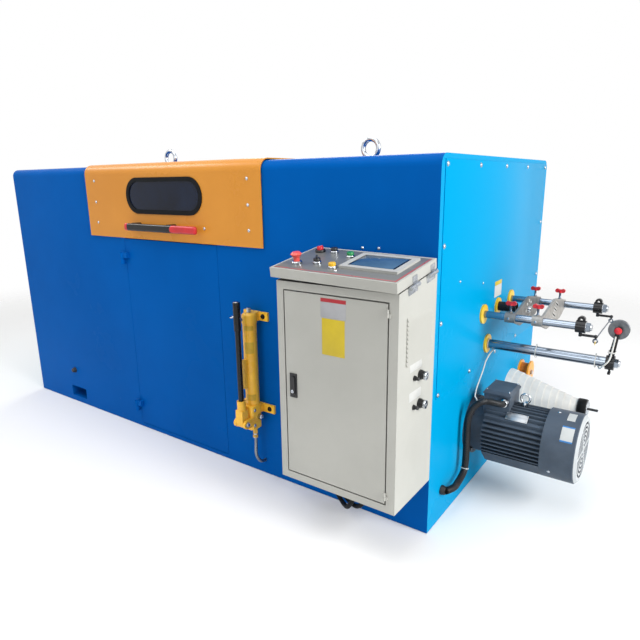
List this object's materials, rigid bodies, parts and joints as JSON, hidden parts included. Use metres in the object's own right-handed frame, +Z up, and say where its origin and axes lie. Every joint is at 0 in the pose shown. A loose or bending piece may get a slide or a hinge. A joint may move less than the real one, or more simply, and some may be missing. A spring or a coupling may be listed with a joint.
{
  "type": "wire bunching machine",
  "caption": "Enclosed wire bunching machine with a lifting hood, front door, control cabinet, hand pump, wire guide bars and a flange motor.",
  "frame": {"origin": "middle of the housing's footprint on the floor", "axes": "+X along the length towards the motor end, +Y to the back, +Z up; the front faces -Y"},
  "size_m": [3.297, 1.6351, 1.518],
  "materials": {
    "black_paint": "satin",
    "black_plastic": "matte",
    "black_rubber": "matte",
    "blue_enamel": "gloss",
    "cast_grey": "satin",
    "grey_powder_coat": "satin",
    "ground_steel": "satin",
    "orange_enamel": "gloss",
    "orange_plastic": "gloss",
    "plated_steel": "polished",
    "red_plastic": "gloss",
    "screen_plastic": "gloss",
    "slate_enamel": "satin",
    "tinted_glass": "gloss",
    "white_plastic": "matte",
    "yellow_enamel": "gloss"
  },
  "bodies": {
    "machine": {"base_frame": "blue_enamel", "front_panel": "blue_enamel", "back_panel": "blue_enamel", "left_end_panel": "blue_enamel", "right_end_panel": "blue_enamel", "roof_panel": "blue_enamel", "lifting_eyes": "plated_steel", "panel_hinges": "blue_enamel", "cabinet_body": "grey_powder_coat", "cabinet_sockets": "black_plastic", "cabinet_cables": "black_rubber", "lid_hinges": "plated_steel", "pump_body": "yellow_enamel", "pump_fittings": "plated_steel", "pump_hose": "black_rubber", "bar_flanges": "yellow_enamel", "guide_bars": "ground_steel", "wire_inlet": "black_paint", "hole_plate": "cast_grey", "slot_plate": "cast_grey", "wing_knobs": "red_plastic", "bar_clamps": "black_paint", "break_rod": "plated_steel", "wheel_post": "black_paint", "wire_spool": "orange_plastic", "ribbed_cone": "white_plastic", "cone_nut": "black_plastic", "motor_body": "slate_enamel", "fan_cover": "slate_enamel", "motor_conduit": "black_plastic", "sensor_lead": "white_plastic"},
    "hood": {"hood_shell": "orange_enamel", "window_gasket": "black_rubber", "window_glass": "tinted_glass", "hood_handle": "black_paint", "handle_grips": "red_plastic"},
    "door": {"front_door": "blue_enamel"},
    "cabinet_door_leaf": {"cabinet_door": "grey_powder_coat", "cabinet_latch": "black_plastic"},
    "desk": {"desk_lid": "grey_powder_coat", "touch_screen": "screen_plastic", "push_buttons": "plated_steel", "emergency_stop": "red_plastic", "lid_leaves": "plated_steel"},
    "lever": {"pump_lever": "black_paint", "lever_socket": "yellow_enamel"},
    "wheel": {"guide_wheel": "cast_grey"}
  },
  "joints": [
    {"name": "hood_lift", "type": "hinge", "parent": "machine", "child": "hood", "pos_m": [0, -0.021, 1.414], "axis": [-1, 0, 0], "range_deg": [0, 75]},
    {"name": "door_swing", "type": "hinge", "parent": "machine", "child": "door", "pos_m": [-0.343, -0.688, 0.53], "axis": [0, 0, -1], "range_deg": [0, 120]},
    {"name": "cabinet_door_swing", "type": "hinge", "parent": "machine", "child": "cabinet_door_leaf", "pos_m": [1.3445, -0.95, 0.605], "axis": [0, 0, 1], "range_deg": [0, 110]},
    {"name": "desk_lift", "type": "hinge", "parent": "machine", "child": "desk", "pos_m": [1.3885, -0.945, 0.982], "axis": [0, 0.989, 0.1478], "range_deg": [0, 95]},
    {"name": "lever_stroke", "type": "hinge", "parent": "machine", "child": "lever", "pos_m": [0.554, -0.793, 0.292], "axis": [1, 0, 0], "range_deg": [0, 50]},
    {"name": "wheel_spin", "type": "hinge", "parent": "machine", "child": "wheel", "pos_m": [1.88, -0.1, 0.753], "axis": [0, 1, 0], "continuous": true}
  ]
}
